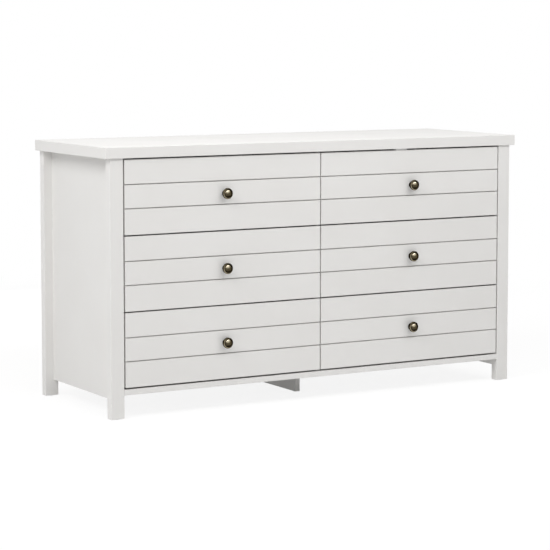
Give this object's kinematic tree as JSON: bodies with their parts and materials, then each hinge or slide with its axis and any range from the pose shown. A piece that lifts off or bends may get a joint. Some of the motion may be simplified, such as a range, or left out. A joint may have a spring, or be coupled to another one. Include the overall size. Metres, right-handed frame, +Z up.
{
  "type": "dresser with drawers",
  "caption": "White free-standing dresser whose planked drawers pull out on steel slides, with round bronze knobs, a thick overhanging top and board legs.",
  "frame": {"origin": "centre of the whole part's footprint, on the floor", "axes": "+X to the right and -Y out of the drawer fronts, as seen from the front; +Z up"},
  "size_m": [1.394, 0.4964, 0.762],
  "materials": {
    "white_paint": "satin white paint on fibreboard",
    "drawer_board": "matt white melamine",
    "drawer_floor": "matt white hardboard",
    "hardboard": "raw hardboard, white inside",
    "aged_bronze": "aged bronze, rubbed bright on the high spots",
    "slide_steel": "zinc plated",
    "zinc": "dull zinc",
    "nylon": "matt"
  },
  "bodies": {
    "case": {"top_panel": "white_paint", "front_left_leg": "white_paint", "front_right_leg": "white_paint", "rear_left_leg": "white_paint", "rear_right_leg": "white_paint", "left_side_panel": "white_paint", "right_side_panel": "white_paint", "centre_partition": "white_paint", "bottom_panel": "white_paint", "centre_foot": "white_paint", "back_panel": "hardboard", "rear_top_rail": "white_paint", "left_bay_slides": "slide_steel", "right_bay_slides": "slide_steel", "floor_glides": "nylon", "stop_pad": "nylon", "cam_fittings": "zinc", "back_panel_nails": "zinc"},
    "top_left_drawer": {"top_left_drawer_front": "white_paint", "top_left_drawer_left_side": "drawer_board", "top_left_drawer_right_side": "drawer_board", "top_left_drawer_back": "drawer_board", "top_left_drawer_bottom": "drawer_floor", "top_left_drawer_knob": "aged_bronze", "top_left_drawer_slide_rails": "slide_steel"},
    "top_right_drawer": {"top_right_drawer_front": "white_paint", "top_right_drawer_left_side": "drawer_board", "top_right_drawer_right_side": "drawer_board", "top_right_drawer_back": "drawer_board", "top_right_drawer_bottom": "drawer_floor", "top_right_drawer_knob": "aged_bronze", "top_right_drawer_slide_rails": "slide_steel"},
    "middle_left_drawer": {"middle_left_drawer_front": "white_paint", "middle_left_drawer_left_side": "drawer_board", "middle_left_drawer_right_side": "drawer_board", "middle_left_drawer_back": "drawer_board", "middle_left_drawer_bottom": "drawer_floor", "middle_left_drawer_knob": "aged_bronze", "middle_left_drawer_slide_rails": "slide_steel"},
    "middle_right_drawer": {"middle_right_drawer_front": "white_paint", "middle_right_drawer_left_side": "drawer_board", "middle_right_drawer_right_side": "drawer_board", "middle_right_drawer_back": "drawer_board", "middle_right_drawer_bottom": "drawer_floor", "middle_right_drawer_knob": "aged_bronze", "middle_right_drawer_slide_rails": "slide_steel"},
    "bottom_left_drawer": {"bottom_left_drawer_front": "white_paint", "bottom_left_drawer_left_side": "drawer_board", "bottom_left_drawer_right_side": "drawer_board", "bottom_left_drawer_back": "drawer_board", "bottom_left_drawer_bottom": "drawer_floor", "bottom_left_drawer_knob": "aged_bronze", "bottom_left_drawer_slide_rails": "slide_steel"},
    "bottom_right_drawer": {"bottom_right_drawer_front": "white_paint", "bottom_right_drawer_left_side": "drawer_board", "bottom_right_drawer_right_side": "drawer_board", "bottom_right_drawer_back": "drawer_board", "bottom_right_drawer_bottom": "drawer_floor", "bottom_right_drawer_knob": "aged_bronze", "bottom_right_drawer_slide_rails": "slide_steel"}
  },
  "joints": [
    {"name": "top_left_drawer_slide", "type": "slide", "parent": "case", "child": "top_left_drawer", "axis": [0, -1, 0], "range_m": [0, 0.3]},
    {"name": "top_right_drawer_slide", "type": "slide", "parent": "case", "child": "top_right_drawer", "axis": [0, -1, 0], "range_m": [0, 0.3]},
    {"name": "middle_left_drawer_slide", "type": "slide", "parent": "case", "child": "middle_left_drawer", "axis": [0, -1, 0], "range_m": [0, 0.3]},
    {"name": "middle_right_drawer_slide", "type": "slide", "parent": "case", "child": "middle_right_drawer", "axis": [0, -1, 0], "range_m": [0, 0.3]},
    {"name": "bottom_left_drawer_slide", "type": "slide", "parent": "case", "child": "bottom_left_drawer", "axis": [0, -1, 0], "range_m": [0, 0.3]},
    {"name": "bottom_right_drawer_slide", "type": "slide", "parent": "case", "child": "bottom_right_drawer", "axis": [0, -1, 0], "range_m": [0, 0.3]}
  ]
}
